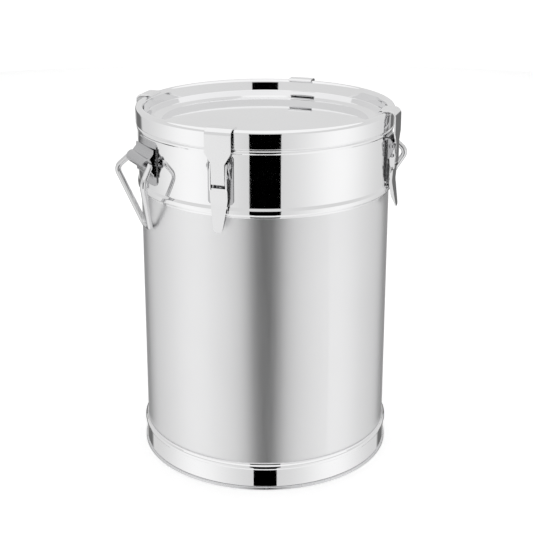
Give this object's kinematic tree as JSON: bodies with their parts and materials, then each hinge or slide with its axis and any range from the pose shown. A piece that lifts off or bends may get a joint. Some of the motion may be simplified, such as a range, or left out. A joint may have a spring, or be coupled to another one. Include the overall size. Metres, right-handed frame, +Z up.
{
  "type": "milk can",
  "caption": "Cylindrical stainless milk can with a raised collar, press-on gasketed lid, toggle latches and drop handles.",
  "frame": {"origin": "on the ground under the middle of the can", "axes": "+Z up along the can's axis, +X through one of the two handles"},
  "size_m": [0.3208, 0.279, 0.392],
  "materials": {
    "satin_barrel": "satin, fine vertical hairline",
    "mirror_steel": "mirror polished",
    "base_steel": "satin",
    "latch_steel": "polished pressed sheet",
    "pin_steel": "turned",
    "bracket_steel": "satin",
    "handle_wire_steel": "polished wire",
    "gasket_silicone": "matt white silicone"
  },
  "bodies": {
    "can": {"barrel": "satin_barrel", "collar": "mirror_steel", "can_bottom": "base_steel", "foot_ring": "mirror_steel", "foot_hem": "base_steel", "latch_base_1": "bracket_steel", "latch_base_2": "bracket_steel", "latch_base_3": "bracket_steel", "latch_base_4": "bracket_steel", "latch_pivot_pin_1": "pin_steel", "latch_pivot_pin_2": "pin_steel", "latch_pivot_pin_3": "pin_steel", "latch_pivot_pin_4": "pin_steel", "handle_bracket_1": "bracket_steel", "handle_bracket_2": "bracket_steel", "handle_sleeve_1": "bracket_steel", "handle_sleeve_2": "bracket_steel"},
    "lid": {"lid_shell": "mirror_steel", "lid_gasket": "gasket_silicone"},
    "lever_1": {"lever_1": "latch_steel", "hook_pin_1": "pin_steel"},
    "hook_1": {"hook_1": "latch_steel"},
    "lever_2": {"lever_2": "latch_steel", "hook_pin_2": "pin_steel"},
    "hook_2": {"hook_2": "latch_steel"},
    "lever_3": {"lever_3": "latch_steel", "hook_pin_3": "pin_steel"},
    "hook_3": {"hook_3": "latch_steel"},
    "lever_4": {"lever_4": "latch_steel", "hook_pin_4": "pin_steel"},
    "hook_4": {"hook_4": "latch_steel"},
    "bail_1": {"bail_1": "handle_wire_steel"},
    "bail_2": {"bail_2": "handle_wire_steel"}
  },
  "joints": [
    {"name": "lid_turn", "type": "hinge", "parent": "can", "child": "lid", "pos_m": [0, 0, 0.39], "axis": [0, 0, 1], "continuous": true},
    {"name": "lever_1_swing", "type": "hinge", "parent": "can", "child": "lever_1", "pos_m": [0.10041, 0.10041, 0.3545], "axis": [0.7071, -0.7071, 0], "range_deg": [0, 110]},
    {"name": "hook_1_tilt", "type": "hinge", "parent": "lever_1", "child": "hook_1", "pos_m": [0.1009, 0.1009, 0.3442], "axis": [0.7071, -0.7071, 0], "range_deg": [-127, 0]},
    {"name": "lever_2_swing", "type": "hinge", "parent": "can", "child": "lever_2", "pos_m": [-0.10041, 0.10041, 0.3545], "axis": [0.7071, 0.7071, 0], "range_deg": [0, 110]},
    {"name": "hook_2_tilt", "type": "hinge", "parent": "lever_2", "child": "hook_2", "pos_m": [-0.1009, 0.1009, 0.3442], "axis": [0.7071, 0.7071, 0], "range_deg": [-127, 0]},
    {"name": "lever_3_swing", "type": "hinge", "parent": "can", "child": "lever_3", "pos_m": [-0.10041, -0.10041, 0.3545], "axis": [-0.7071, 0.7071, 0], "range_deg": [0, 110]},
    {"name": "hook_3_tilt", "type": "hinge", "parent": "lever_3", "child": "hook_3", "pos_m": [-0.1009, -0.1009, 0.3442], "axis": [-0.7071, 0.7071, 0], "range_deg": [-127, 0]},
    {"name": "lever_4_swing", "type": "hinge", "parent": "can", "child": "lever_4", "pos_m": [0.10041, -0.10041, 0.3545], "axis": [-0.7071, -0.7071, 0], "range_deg": [0, 110]},
    {"name": "hook_4_tilt", "type": "hinge", "parent": "lever_4", "child": "hook_4", "pos_m": [0.1009, -0.1009, 0.3442], "axis": [-0.7071, -0.7071, 0], "range_deg": [-127, 0]},
    {"name": "bail_1_swing", "type": "hinge", "parent": "can", "child": "bail_1", "pos_m": [0.1447, 0, 0.342], "axis": [0, -1, 0], "range_deg": [0, 160]},
    {"name": "bail_2_swing", "type": "hinge", "parent": "can", "child": "bail_2", "pos_m": [-0.1447, 0, 0.342], "axis": [0, 1, 0], "range_deg": [0, 160]}
  ],
  "couplings": [
    {"joint": "hook_1_tilt", "follows": "lever_1_swing", "ratio": -1.15},
    {"joint": "hook_2_tilt", "follows": "lever_2_swing", "ratio": -1.15},
    {"joint": "hook_3_tilt", "follows": "lever_3_swing", "ratio": -1.15},
    {"joint": "hook_4_tilt", "follows": "lever_4_swing", "ratio": -1.15}
  ]
}
